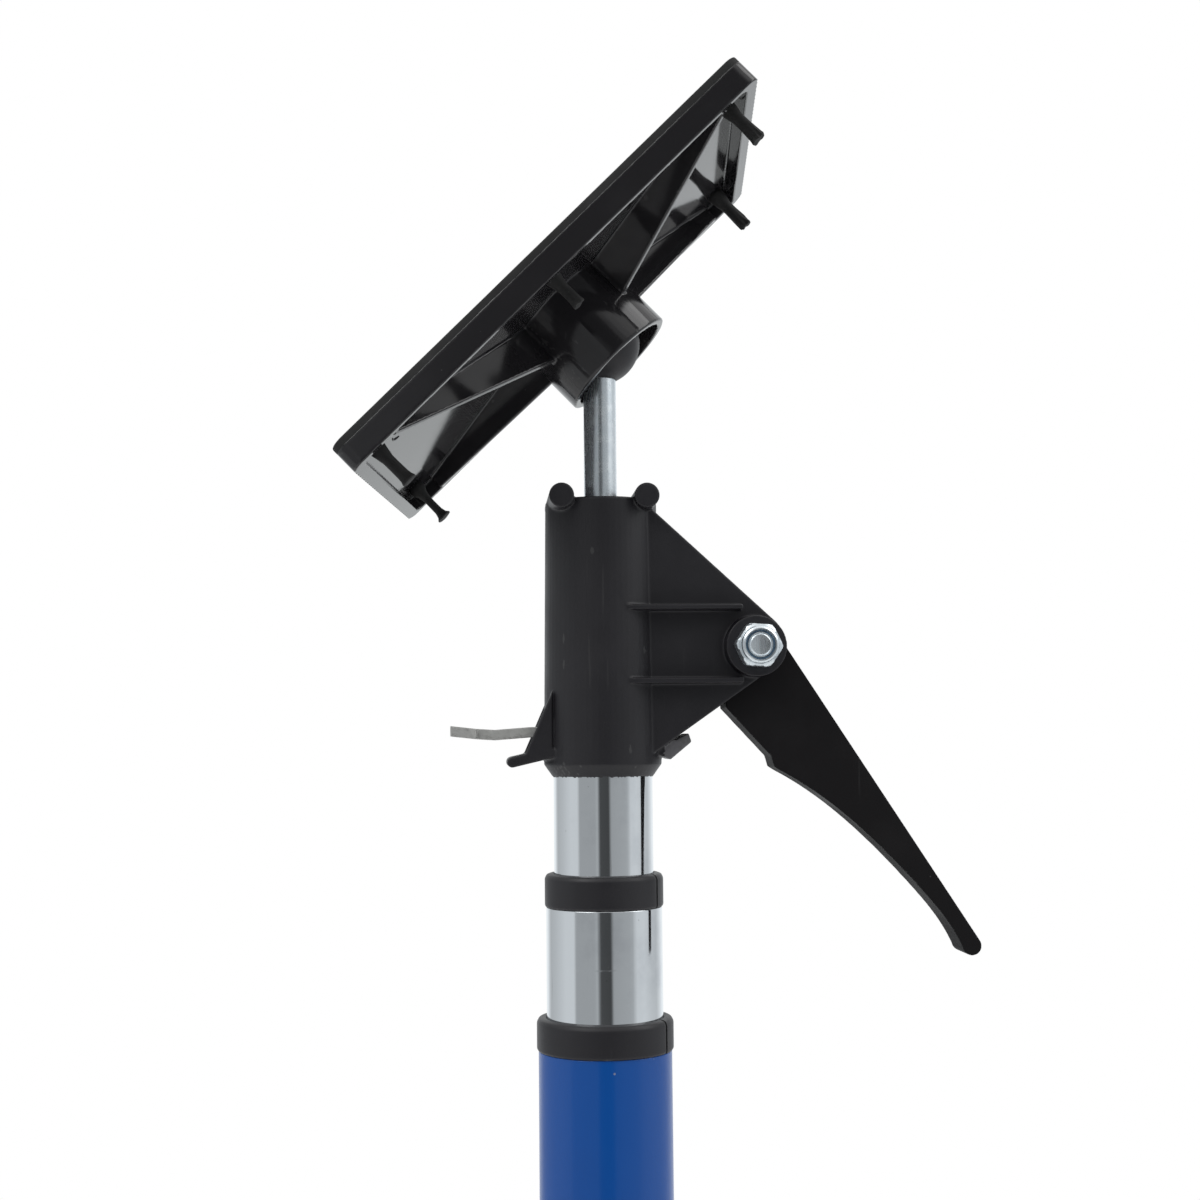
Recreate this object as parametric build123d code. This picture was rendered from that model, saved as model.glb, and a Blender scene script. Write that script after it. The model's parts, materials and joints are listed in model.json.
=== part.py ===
from build123d import *
import math
import os

# Telescopic support pole with a pump head, in millimetres, +Z up, origin where the pole's axis
# meets the floor face of the foot's rubber pad.  +X points to the side the pump lever is on.

# ---- driving dimensions ----------------------------------------------------------------------
# swivel plate (the same moulding at the foot and at the head)
PLATE_LENGTH = 126.6
PLATE_WIDTH = 89.5
PLATE_CORNER = 3.0
PLATE_SHIFT = -1.2        # the plate's middle, measured from the hub
PLATE_EDGE = 5.95         # height of the plate's side wall
PLATE_SKIN = 2.2          # thickness of the plate under the hollow
END_WALL = 3.3
SIDE_WALL = 2.2
PAD_THICKNESS = 1.5
PAD_INSET = 0.1
HUB_RADIUS = 15.3
HUB_BORE = 13.3
HUB_TOP = 24.6            # above the pad's outer face
RIB_THICKNESS = 1.8
RIB_HEIGHT_AT_HUB = 7.15  # above the plate's rim
RIB_REACH = (52.0, 42.0)
NIPPLE_SPACING_X = 56.0
NIPPLE_SPACING_Y = 34.0
NIPPLE_TIP = 15.9         # above the pad's outer face

# ball joint
BALL_RADIUS = 10.0
BALL_CENTRE = 17.4        # above the pad's outer face
BALL_PLAY = 0.05
SOCKET_RADIUS = 13.25
SOCKET_TOP = 20.3
SOCKET_SLITS = 4
HEAD_TILT = 44.0          # the head's tilt at rest, which is also its limit
HEAD_TURN = -6.0          # how far the head is turned about the rod at rest

# telescopic tubes
WALL = 1.0
OUTER_RADIUS = 16.0
MIDDLE_RADIUS = 14.0
INNER_RADIUS = 12.0
OUTER_TUBE_BOTTOM = 39.0
OUTER_TUBE_TOP = 1033.5
OUTER_BUSH_HEIGHT = 7.9
OUTER_BUSH_RADIUS = 16.4
MIDDLE_SHOWING = 26.0     # between the two bushes
MIDDLE_TUBE_LENGTH = 942.0
MIDDLE_BUSH_HEIGHT = 8.1
MIDDLE_BUSH_RADIUS = 14.3
INNER_SHOWING = 23.5      # between the middle bush and the housing
INNER_TUBE_LENGTH = 946.0
SLIDING_PLAY = 0.05
BUSH_DEPTH = 14.0
BUSH_SLIT_TURN = -32.0    # where the slit is, as an angle about +Z from +X

# pump housing, its features measured from just above its lower end
HOUSING_BOTTOM = -0.6
HOUSING_HEIGHT = 66.4
HOUSING_RADIUS = 14.3
HOUSING_TOP_RADIUS = 13.6 # the body tapers for its mould
TUBE_IN_HOUSING = 59.0
TOP_BOSS_X = 10.2
TOP_BOSS_Z = 66.55
TOP_BOSS_RADIUS = 3.0
TOP_BOSS_REACH = 14.0
PIVOT_X = 36.2
PIVOT_Z = 30.5
PIVOT_BOSS_RADIUS = 7.3
EAR_END = (36.2, 31.3, 7.5)   # x, z and radius of the ears' round end
EAR_INNER = 5.8
EAR_OUTER = 8.5
PIVOT_BOSS_FACE = 12.5
EAR_RIB_HEIGHTS = (39.9, 22.4)
EAR_RIB_END = 33.0

# pump lever and the plates on the rod
ROD_RADIUS = 4.0
ROD_PLAY = 0.06
ROD_LIFT = 100.0          # how far the rod can rise from here
LEVER_SQUEEZE = 41.0      # degrees
LEVER_HALF_WIDTH = 5.5
LEVER_HUB_RADIUS = 7.3
ARM_LENGTH = 27.6
ARM_HALF_WIDTH = 3.0
NOSE_RADIUS = 2.5
PLATE_STEEL = 2.5
GRIP_HOLE_RADIUS = 4.3
BRAKE_TILT = 3.0          # degrees

# ---- places that follow from them --------------------------------------------------------------
PLATE_RIM = PAD_THICKNESS + PLATE_EDGE
PLATE_FLOOR = PAD_THICKNESS + PLATE_SKIN
MIDDLE_TUBE_TOP = OUTER_TUBE_TOP + OUTER_BUSH_HEIGHT + MIDDLE_SHOWING
MIDDLE_TUBE_BOTTOM = MIDDLE_TUBE_TOP - MIDDLE_TUBE_LENGTH
HOUSING_Z = MIDDLE_TUBE_TOP + MIDDLE_BUSH_HEIGHT + INNER_SHOWING
INNER_TUBE_TOP = HOUSING_Z + TUBE_IN_HOUSING
INNER_TUBE_BOTTOM = INNER_TUBE_TOP - INNER_TUBE_LENGTH
HEAD_BALL_Z = HOUSING_Z + 106.0
NOSE_X = PIVOT_X - ARM_LENGTH * math.cos(math.radians(LEVER_SQUEEZE / 2))
NOSE_Z = PIVOT_Z - ARM_LENGTH * math.sin(math.radians(LEVER_SQUEEZE / 2))
DRIVE_TRAVEL = 2 * ARM_LENGTH * math.sin(math.radians(LEVER_SQUEEZE / 2))
DRIVE_PLATE_Z = NOSE_Z + NOSE_RADIUS + 0.1
TOP_GUIDE_HEIGHT = 4.8
LOWER_GUIDE_TOP = 4.0
LOWER_GUIDE_BOTTOM = -6.0
CLIP_THICKNESS = 1.2
ROD_BOTTOM = HOUSING_Z + LOWER_GUIDE_BOTTOM - ROD_LIFT - 5.0
SPRING_SEAT_Z = 16.2

os.makedirs("parts", exist_ok=True)


def save(shape, node):
    """Writes one sub-part to its own file."""
    shape.label = node
    export_step(shape, f"parts/{node}.step")


# ---- small shapes used more than once ----------------------------------------------------------
def upright(radius, bottom, top, x=0.0, y=0.0):
    """A round bar along Z from bottom to top."""
    return Pos(x, y, bottom) * extrude(Circle(radius), top - bottom)


def ring(outer, inner, bottom, top):
    """A round sleeve along Z."""
    return upright(outer, bottom, top) - upright(inner, bottom - 1, top + 1)


def across(radius, near, far, x, z):
    """A round bar along Y from near to far."""
    return Pos(x, near, z) * Rot(X=-90) * extrude(Circle(radius), far - near)


def slab(profile, half_width):
    """A face drawn in the XZ plane, given its thickness along Y about y = 0."""
    return extrude(profile, half_width, both=True)


def xz_polygon(points):
    """A face in the XZ plane from (x, z) corners."""
    corners = [Vector(x, 0, z) for x, z in points]
    return make_face(Polyline(*corners, close=True).edges())


def xz_hull(circles, points=()):
    """The face in the XZ plane that a string pulled round circles (x, z, radius) and points encloses."""
    rims = Sketch() + [Pos(x, z) * Circle(radius) for x, z, radius in circles]
    edges = list(rims.edges())
    if points:
        edges += Polyline(*points).edges()
    return Plane.XZ * make_hull(edges)


def bar_box(low, high):
    """A box from its lowest to its highest corner."""
    size = [high[i] - low[i] for i in range(3)]
    return Pos(*low) * Box(*size, align=(Align.MIN, Align.MIN, Align.MIN))


def coil(radius, wire, bottom, top, turns):
    """A compression spring's wire, its centre line on the given radius."""
    rise = top - bottom - wire
    path = Helix(pitch=rise / turns, height=rise, radius=radius)
    section = Plane(origin=path @ 0, z_dir=path % 0) * Circle(wire / 2)
    return Pos(0, 0, bottom + wire / 2) * sweep(section, path, is_frenet=True)


# ---- swivel plate, pad, ball and socket, drawn as a foot: pad face on z = 0 -----------------------
def plate_shape():
    """The moulded plate: a shallow tray with a round hub and four diagonal gussets."""
    body = Pos(PLATE_SHIFT, 0, PAD_THICKNESS) * extrude(
        RectangleRounded(PLATE_LENGTH, PLATE_WIDTH, PLATE_CORNER), PLATE_EDGE)
    body = fillet(body.faces().sort_by(Axis.Z)[0].outer_wire().edges(), 0.3)
    hollow = Pos(PLATE_SHIFT, 0, PLATE_FLOOR) * extrude(
        RectangleRounded(PLATE_LENGTH - 2 * END_WALL, PLATE_WIDTH - 2 * SIDE_WALL, 2.5), PLATE_EDGE)
    body -= hollow
    reach = math.hypot(*RIB_REACH)
    angle = math.degrees(math.atan2(RIB_REACH[1], RIB_REACH[0]))
    rib_side = xz_polygon([
        (HUB_RADIUS - 1.0, PLATE_FLOOR - 0.2),
        (reach, PLATE_FLOOR - 0.2),
        (reach, PLATE_RIM),
        (HUB_RADIUS - 1.0, PLATE_RIM + RIB_HEIGHT_AT_HUB)])
    rib = slab(rib_side, RIB_THICKNESS / 2)
    for turn in (angle, 180 - angle, 180 + angle, -angle):
        body += Rot(Z=turn) * rib
    hub = upright(HUB_RADIUS, PLATE_FLOOR - 0.2, HUB_TOP)
    hub = fillet(hub.faces().sort_by(Axis.Z)[-1].edges(), 0.5)
    body += hub
    body -= upright(HUB_BORE, PLATE_FLOOR, HUB_TOP + 1)
    for x, y in nipple_places():
        body -= upright(2.0, 0, PLATE_FLOOR + 1, x, y)
    return body


def nipple_places():
    """The six places where the pad's nipples come through the plate."""
    return [(PLATE_SHIFT + x, y) for x in (-NIPPLE_SPACING_X, 0, NIPPLE_SPACING_X)
            for y in (-NIPPLE_SPACING_Y, NIPPLE_SPACING_Y)]


def pad_shape():
    """The rubber pad with its pull-through nipples."""
    pad = Pos(PLATE_SHIFT, 0, 0) * extrude(RectangleRounded(
        PLATE_LENGTH - 2 * PAD_INSET, PLATE_WIDTH - 2 * PAD_INSET, PLATE_CORNER), PAD_THICKNESS)
    waist = 0.55 * (PLATE_FLOOR + NIPPLE_TIP)
    outline = xz_polygon([
        (0, PAD_THICKNESS - 0.1),
        (1.95, PAD_THICKNESS - 0.1),
        (1.95, PLATE_FLOOR + 0.1),
        (2.3, PLATE_FLOOR + 0.5),
        (2.2, PLATE_FLOOR + 2.0),
        (1.4, waist),
        (1.4, waist + 1.5),
        (1.9, NIPPLE_TIP - 1.2),
        (1.6, NIPPLE_TIP),
        (0, NIPPLE_TIP)])
    nipple = revolve(outline, Axis.Z)
    for x, y in nipple_places():
        pad += Pos(x, y, 0) * nipple
    return pad


def socket_shape():
    """The snap-in cup round the ball, its rim split into spring fingers."""
    cup = upright(SOCKET_RADIUS, PLATE_FLOOR, SOCKET_TOP)
    cup -= Pos(0, 0, BALL_CENTRE) * Sphere(BALL_RADIUS + BALL_PLAY)
    slit = bar_box((7.0, -0.8, BALL_CENTRE - 7.1), (SOCKET_RADIUS + 1, 0.8, SOCKET_TOP + 1))
    for i in range(SOCKET_SLITS):
        cup -= Rot(Z=45 + i * 360 / SOCKET_SLITS) * slit
    return cup


def ball_shape():
    """The plastic ball, bored from above for the rod that carries it."""
    ball = Pos(0, 0, BALL_CENTRE) * Sphere(BALL_RADIUS)
    ball -= upright(ROD_RADIUS + ROD_PLAY, BALL_CENTRE - 5.1, BALL_CENTRE + BALL_RADIUS + 1)
    return ball


HEAD_PLACE = (Pos(0, 0, HEAD_BALL_Z) * Rot(Z=HEAD_TURN) * Rot(Y=-HEAD_TILT) * Rot(X=180)
              * Pos(0, 0, -BALL_CENTRE))
ROD_END_PLACE = Pos(0, 0, HEAD_BALL_Z) * Rot(X=180) * Pos(0, 0, -BALL_CENTRE)


def clip_shape(bottom):
    """A split retaining ring in a groove of an 8 mm bar."""
    clip = ring(6.5, 3.5, bottom, bottom + CLIP_THICKNESS)
    clip -= bar_box((0, -2.6, bottom - 1), (8, 2.6, bottom + CLIP_THICKNESS + 1))
    return clip


def groove(bottom):
    """The groove such a ring sits in."""
    return ring(ROD_RADIUS + 1, 3.4, bottom - 0.05, bottom + CLIP_THICKNESS + 0.05)


# ---- foot ----------------------------------------------------------------------------------------
def base_stub():
    """The short steel bar between the foot's ball and the outer tube."""
    clip_z = OUTER_TUBE_BOTTOM + 17.0
    stub = upright(ROD_RADIUS, BALL_CENTRE - 5.0, clip_z + 4.0)
    stub = chamfer(stub.faces().sort_by(Axis.Z)[-1].edges(), 0.6)
    save(stub - groove(clip_z), "base_stub")
    save(clip_shape(clip_z), "base_stub_clip")


def base_plug():
    """The plastic plug that closes the outer tube's lower end and turns on the stub."""
    plug = upright(OUTER_RADIUS + 0.2, OUTER_TUBE_BOTTOM - 3.0, OUTER_TUBE_BOTTOM)
    plug = chamfer(plug.faces().sort_by(Axis.Z)[0].edges(), 0.8)
    plug += upright(OUTER_RADIUS - WALL, OUTER_TUBE_BOTTOM - 0.5, OUTER_TUBE_BOTTOM + 16.0)
    plug -= upright(ROD_RADIUS + ROD_PLAY, 0, OUTER_TUBE_BOTTOM + 20.0)
    save(plug, "base_plug")


# ---- telescopic tubes ------------------------------------------------------------------------------
def end_bush(tube_radius, rim_radius, tube_top, height):
    """A bush in a tube's upper end: a visible rim over a thin sleeve, slit on one side."""
    rim = upright(rim_radius, tube_top, tube_top + height)
    rim = fillet(rim.faces().sort_by(Axis.Z)[-1].edges(), 1.2)
    rim = chamfer(rim.faces().sort_by(Axis.Z)[0].edges(), 0.3)
    bush = rim + upright(tube_radius - WALL, tube_top - BUSH_DEPTH, tube_top + 0.5)
    bore = tube_radius - 2 * WALL + SLIDING_PLAY
    bush -= upright(bore, tube_top - BUSH_DEPTH - 1, tube_top + height + 1)
    slit = bar_box((0, -0.4, tube_top - BUSH_DEPTH - 1), (rim_radius + 1, 0.4, tube_top + height + 1))
    return bush - Rot(Z=BUSH_SLIT_TURN) * slit


def twist_lock(name, tube_radius, outer_bore, tube_bottom):
    """Plug and cone stud in a tube's lower end, and the split sleeve that the cone spreads."""
    plug = upright(tube_radius - WALL, tube_bottom - 0.5, tube_bottom + 20.0)
    plug += upright(tube_radius, tube_bottom - 3.0, tube_bottom)
    plug -= upright(3.02, tube_bottom - 4.0, tube_bottom + 12.1)
    save(plug, f"{name}_lock_plug")

    cone_bottom = tube_bottom - 33.0
    cone = Pos(0, 0, cone_bottom + 7.0) * Cone(outer_bore - 5.5, 3.0, 14.0)
    stud = cone + upright(3.0, cone_bottom + 13.0, tube_bottom + 12.0)
    save(stud, f"{name}_lock_stud")

    sleeve = upright(outer_bore - 0.3, tube_bottom - 30.0, tube_bottom - 3.4)
    sleeve -= upright(3.1, tube_bottom - 34.0, tube_bottom)
    sleeve -= Pos(0, 0, cone_bottom + 7.0) * Cone(outer_bore - 5.2, 3.3, 14.0)
    slit = bar_box((0, -0.6, tube_bottom - 31.0), (outer_bore + 1, 0.6, tube_bottom - 12.0))
    for turn in (0, 120, 240):
        sleeve -= Rot(Z=turn) * slit
    save(sleeve, f"{name}_lock_sleeve")


def tubes():
    """Outer, middle and inner tube with their upper bushes and lower locks."""
    save(ring(OUTER_RADIUS, OUTER_RADIUS - WALL, OUTER_TUBE_BOTTOM, OUTER_TUBE_TOP), "outer_tube")
    save(ring(MIDDLE_RADIUS, MIDDLE_RADIUS - WALL, MIDDLE_TUBE_BOTTOM, MIDDLE_TUBE_TOP), "middle_tube")

    inner = ring(INNER_RADIUS, INNER_RADIUS - WALL, INNER_TUBE_BOTTOM, INNER_TUBE_TOP)
    inner -= Pos(0, 0, HOUSING_Z) * (arm_window() + tab_window())
    inner -= screw_shank(1.5)
    save(inner, "inner_tube")

    save(end_bush(OUTER_RADIUS, OUTER_BUSH_RADIUS, OUTER_TUBE_TOP, OUTER_BUSH_HEIGHT), "outer_tube_bush")
    save(end_bush(MIDDLE_RADIUS, MIDDLE_BUSH_RADIUS, MIDDLE_TUBE_TOP, MIDDLE_BUSH_HEIGHT),
         "middle_tube_bush")
    twist_lock("middle", MIDDLE_RADIUS, OUTER_RADIUS - WALL, MIDDLE_TUBE_BOTTOM)
    twist_lock("inner", INNER_RADIUS, MIDDLE_RADIUS - WALL, INNER_TUBE_BOTTOM)


# ---- pump housing, from here on drawn from the housing's lower end -----------------------------------
def arm_window():
    """The opening on the lever's side for its inner arm."""
    return bar_box((8.0, -3.6, 17.5), (HOUSING_RADIUS + 2, 3.6, NOSE_Z + DRIVE_TRAVEL + 6.0))


def tab_window():
    """The opening on the other side for the release tab."""
    return bar_box((-HOUSING_RADIUS - 2, -5.4, 6.6), (-8.0, 5.4, 15.0))


def screw_shank(radius):
    """The fixing screw's shank, through the back of the housing into the tube."""
    return across(radius, 9.0, HOUSING_RADIUS + 1.0, 0, HOUSING_Z + 52.0)


def ears():
    """The pair of triangular ears that carry the lever, with their ribs and pivot bosses."""
    outline = xz_hull(
        [EAR_END],
        [(8.0, 64.4), (11.3, 64.4), (12.2, 5.5), (8.0, 4.0)])
    shape = slab(outline, EAR_OUTER)
    shape += across(PIVOT_BOSS_RADIUS, -PIVOT_BOSS_FACE, PIVOT_BOSS_FACE, PIVOT_X, PIVOT_Z)
    for height in EAR_RIB_HEIGHTS:
        shape += bar_box((0, -13.0, height - 0.6), (EAR_RIB_END, 13.0, height + 0.6))
    gap = bar_box((HOUSING_RADIUS, -EAR_INNER, -1.0), (60.0, EAR_INNER, 70.0))
    return shape - gap


def lever_stop():
    """The block between the ears that ends the lever's stroke."""
    outline = xz_polygon([(12.5, 5.9), (20.3, 9.9), (21.0, 7.8), (15.9, 3.6), (12.5, 5.0)])
    return slab(outline, EAR_INNER + 0.5)


def finger_rest():
    """The rest below the release tab: a bar between two gussets."""
    bar = xz_hull([(-22.1, 3.3, 1.25), (-13.0, 5.4, 1.25)])
    gusset = xz_polygon([(-12.5, 20.2), (-19.0, 5.2), (-17.4, 3.9), (-12.5, 4.6)])
    rest = slab(bar, 8.0)
    cheeks = slab(gusset, 8.0) - bar_box((-30.0, -6.0, -5.0), (0, 6.0, 30.0))
    return rest + cheeks


def pump_housing():
    """The moulded housing round the top of the inner tube."""
    height = HOUSING_HEIGHT - HOUSING_BOTTOM
    shell = Pos(0, 0, HOUSING_BOTTOM + height / 2) * Cone(HOUSING_RADIUS, HOUSING_TOP_RADIUS, height)
    shell = chamfer(shell.faces().sort_by(Axis.Z)[0].edges(), 3.2, 2.3)
    shell = fillet(shell.faces().sort_by(Axis.Z)[-1].edges(), 0.5)
    shell += ears()
    for side in (-1, 1):
        shell += across(TOP_BOSS_RADIUS, -TOP_BOSS_REACH, TOP_BOSS_REACH, side * TOP_BOSS_X, TOP_BOSS_Z)
    shell += finger_rest()
    shell -= upright(INNER_RADIUS, -1.0, TUBE_IN_HOUSING + TOP_GUIDE_HEIGHT)
    shell -= upright(ROD_RADIUS + 0.6, 0, HOUSING_HEIGHT + 6.0)
    shell += lever_stop()
    shell -= arm_window()
    shell -= tab_window()
    shell -= across(3.05, -20.0, 20.0, PIVOT_X, PIVOT_Z)
    shell = Pos(0, 0, HOUSING_Z) * shell
    shell -= screw_shank(1.5)
    save(shell, "pump_housing")


def rod_guides():
    """Plastic guides for the rod at the top of the housing and inside the inner tube."""
    top = upright(INNER_RADIUS, TUBE_IN_HOUSING, TUBE_IN_HOUSING + TOP_GUIDE_HEIGHT)
    lower = upright(INNER_RADIUS - WALL, LOWER_GUIDE_BOTTOM, LOWER_GUIDE_TOP)
    for guide, node in ((top, "rod_top_guide"), (lower, "rod_lower_guide")):
        guide -= upright(ROD_RADIUS + ROD_PLAY, -20.0, 80.0)
        save(Pos(0, 0, HOUSING_Z) * guide, node)


def housing_screw():
    """The pan-head screw at the back of the housing."""
    head = across(3.2, HOUSING_RADIUS, HOUSING_RADIUS + 2.2, 0, HOUSING_Z + 52.0)
    head = fillet(head.faces().sort_by(Axis.Y)[-1].edges(), 1.2)
    screw = head + across(1.45, 10.0, HOUSING_RADIUS + 0.5, 0, HOUSING_Z + 52.0)
    for size in ((3.4, 0.8), (0.8, 3.4)):
        screw -= Pos(0, HOUSING_RADIUS + 2.2, HOUSING_Z + 52.0) * Box(size[0], 2.4, size[1])
    save(screw, "housing_screw")


# ---- lever and its pivot -------------------------------------------------------------------------------
def pump_lever():
    """The squeeze lever: handle, hub and the inner arm that lifts the drive plate."""
    tip = (88.6, -41.9, 2.3)
    grip = [Vector(x, 0, z) for x, z in [
        (86.7, -43.1), (81.8, -34.6), (76.6, -28.3), (65.4, -16.5), (53.0, -5.9), (42.7, 0.6)]]
    outline = [Vector(x, 0, z) for x, z in [
        (41.1, 1.6), (40.4, 4.2), (29.6, 15.9), (28.9, 28.0), (PIVOT_X, PIVOT_Z), (41.6, 35.1),
        (90.5, -40.6), (tip[0], tip[1])]]
    grip_edges = [Spline(*grip), Polyline(grip[-1], *outline, grip[0])]
    handle = make_face(Curve() + grip_edges)
    body = slab(handle, LEVER_HALF_WIDTH)
    body += across(tip[2], -LEVER_HALF_WIDTH, LEVER_HALF_WIDTH, tip[0], tip[1])
    body += across(LEVER_HUB_RADIUS, -LEVER_HALF_WIDTH, LEVER_HALF_WIDTH, PIVOT_X, PIVOT_Z)
    knee = (PIVOT_X + 0.7 * (NOSE_X - PIVOT_X), PIVOT_Z + 0.7 * (NOSE_Z - PIVOT_Z), 1.9)
    body += slab(xz_hull([(PIVOT_X, PIVOT_Z, 6.0), knee]), ARM_HALF_WIDTH)
    body += slab(xz_hull([knee, (NOSE_X, NOSE_Z, 1.9)]), ARM_HALF_WIDTH)
    body += across(NOSE_RADIUS, -ARM_HALF_WIDTH, ARM_HALF_WIDTH, NOSE_X, NOSE_Z)
    body -= across(3.05, -10.0, 10.0, PIVOT_X, PIVOT_Z)
    save(Pos(0, 0, HOUSING_Z) * body, "pump_lever")


def hexagon_bar(near, far):
    """A hexagonal bar, 10 mm across its flats, on the lever's pivot."""
    return Pos(PIVOT_X, near, PIVOT_Z) * Rot(X=-90) * Rot(Z=4) * extrude(
        RegularPolygon(5.0, 6, major_radius=False), far - near)


def lever_pivot():
    """The M6 bolt, its lock nut and the nut's nylon ring."""
    head = hexagon_bar(PIVOT_BOSS_FACE, PIVOT_BOSS_FACE + 4.0)
    bolt = head + across(2.98, -PIVOT_BOSS_FACE - 6.6, PIVOT_BOSS_FACE + 1.0, PIVOT_X, PIVOT_Z)
    save(Pos(0, 0, HOUSING_Z) * bolt, "lever_bolt")

    nut = hexagon_bar(-PIVOT_BOSS_FACE - 4.6, -PIVOT_BOSS_FACE)
    nut += across(4.6, -PIVOT_BOSS_FACE - 6.0, -PIVOT_BOSS_FACE - 4.0, PIVOT_X, PIVOT_Z)
    nut -= across(3.0, -30.0, 0, PIVOT_X, PIVOT_Z)
    insert_room = across(3.9, -PIVOT_BOSS_FACE - 5.6, -PIVOT_BOSS_FACE - 4.0, PIVOT_X, PIVOT_Z)
    nut -= insert_room
    save(Pos(0, 0, HOUSING_Z) * nut, "lever_nut")

    insert = insert_room - across(3.0, -30.0, 0, PIVOT_X, PIVOT_Z)
    save(Pos(0, 0, HOUSING_Z) * insert, "lever_nut_insert")


# ---- rod and the plates and springs on it ----------------------------------------------------------
def push_rod():
    """The rod that the pump lifts, with the clip that keeps it in its guides."""
    clip_z = ROD_BOTTOM + 3.8
    rod = upright(ROD_RADIUS, ROD_BOTTOM, HEAD_BALL_Z + 5.0)
    rod = chamfer(rod.faces().sort_by(Axis.Z)[0].edges(), 0.8)
    save(rod - groove(clip_z), "push_rod")
    save(clip_shape(clip_z), "rod_stop_clip")


def plate_blank(bottom, top):
    """A round blank with two flats that passes down the inner tube."""
    blank = upright(INNER_RADIUS - WALL - 0.4, bottom, top)
    return blank & bar_box((-12.0, -7.5, bottom - 1.0), (12.0, 7.5, top + 1.0))


def drive_plate():
    """The steel plate that the lever lifts and that grips the rod."""
    plate = plate_blank(DRIVE_PLATE_Z, DRIVE_PLATE_Z + PLATE_STEEL)
    plate -= upright(GRIP_HOLE_RADIUS, 0, 60.0)
    save(Pos(0, 0, HOUSING_Z) * plate, "drive_plate")


def brake_plate():
    """The steel brake plate, inclined on the rod, whose bent-out end is the release tab."""
    fall = math.tan(math.radians(BRAKE_TILT))
    middle_line = [(-36.8, 10.8), (-30.7, 10.1), (-26.2, 9.8), (-17.9, 10.4), (-13.2, 10.5),
                   (11.0, 10.5 - 24.2 * fall)]
    upper = [(x, z + PLATE_STEEL / 2) for x, z in middle_line]
    lower = [(x, z - PLATE_STEEL / 2) for x, z in reversed(middle_line)]
    strip = slab(xz_polygon(upper + lower), 7.5)
    width = upright(INNER_RADIUS - WALL - 0.4, 0, 20.0)
    width += bar_box((-31.5, -5.0, 0), (0, 5.0, 20.0))
    width += bar_box((-40.0, -7.0, 0), (-30.6, 7.0, 20.0))
    plate = strip & width
    plate -= upright(GRIP_HOLE_RADIUS, 0, 30.0)
    save(Pos(0, 0, HOUSING_Z) * plate, "brake_plate")


def springs():
    """The drive and brake springs and the washer between the two mechanisms."""
    drive_bottom = DRIVE_PLATE_Z + PLATE_STEEL
    drive = coil(6.8, 1.2, drive_bottom + 0.1, TUBE_IN_HOUSING - 0.1, 7)
    save(Pos(0, 0, HOUSING_Z) * drive, "drive_spring")

    brake = coil(6.0, 0.9, 12.3, SPRING_SEAT_Z - 0.1, 2.5)
    save(Pos(0, 0, HOUSING_Z) * brake, "brake_spring")

    seat = ring(INNER_RADIUS - WALL, 5.0, SPRING_SEAT_Z, SPRING_SEAT_Z + 1.0)
    save(Pos(0, 0, HOUSING_Z) * seat, "spring_seat")


# ---- the whole pole --------------------------------------------------------------------------------
save(plate_shape(), "base_plate")
save(pad_shape(), "base_pad")
save(socket_shape(), "base_socket")
save(ball_shape(), "base_ball")
base_stub()
base_plug()
tubes()
pump_housing()
rod_guides()
housing_screw()
pump_lever()
lever_pivot()
push_rod()
drive_plate()
brake_plate()
springs()
save(ROD_END_PLACE * ball_shape(), "head_ball")
save(HEAD_PLACE * socket_shape(), "head_socket")
save(HEAD_PLACE * plate_shape(), "head_plate")
save(HEAD_PLACE * pad_shape(), "head_pad")
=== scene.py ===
import json
import math

import bmesh
import bpy
from mathutils import Matrix, Vector, noise


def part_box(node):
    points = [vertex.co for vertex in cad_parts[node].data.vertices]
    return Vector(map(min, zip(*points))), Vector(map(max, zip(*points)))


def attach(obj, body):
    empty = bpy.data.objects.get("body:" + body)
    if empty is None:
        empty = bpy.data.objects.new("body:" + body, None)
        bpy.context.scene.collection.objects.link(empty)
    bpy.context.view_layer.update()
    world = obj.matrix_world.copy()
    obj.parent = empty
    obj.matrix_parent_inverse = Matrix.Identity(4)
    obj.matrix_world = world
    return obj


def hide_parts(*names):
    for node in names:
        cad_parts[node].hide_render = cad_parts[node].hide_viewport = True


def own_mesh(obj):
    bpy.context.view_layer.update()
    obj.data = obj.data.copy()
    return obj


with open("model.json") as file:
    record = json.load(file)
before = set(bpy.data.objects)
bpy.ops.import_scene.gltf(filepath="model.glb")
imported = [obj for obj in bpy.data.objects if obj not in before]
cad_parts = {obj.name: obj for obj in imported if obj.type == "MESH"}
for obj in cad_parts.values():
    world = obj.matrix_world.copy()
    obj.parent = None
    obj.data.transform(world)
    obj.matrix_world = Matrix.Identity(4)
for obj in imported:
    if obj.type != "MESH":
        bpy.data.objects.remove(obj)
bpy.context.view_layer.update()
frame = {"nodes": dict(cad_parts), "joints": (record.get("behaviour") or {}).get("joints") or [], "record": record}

MM = 0.001

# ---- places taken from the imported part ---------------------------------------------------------
JOINTS = {joint["name"]: joint for joint in frame["joints"]}
BALL = Vector(JOINTS["head_tilt"]["pos_m"])
HEAD_OUT = Vector(JOINTS["head_spin"]["axis"]).normalized()
HEAD_SIDE = Vector(JOINTS["head_tilt"]["axis"]).normalized()
PIVOT = Vector(JOINTS["lever_squeeze"]["pos_m"])
FOOT_BALL = Vector(JOINTS["foot_tilt"]["pos_m"])
TUBE_IN_HOUSING = 59.0 * MM                 # how far the inner tube reaches up the housing
HOUSING_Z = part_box("inner_tube")[1].z - TUBE_IN_HOUSING
BALL_CENTRE = FOOT_BALL.z

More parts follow.
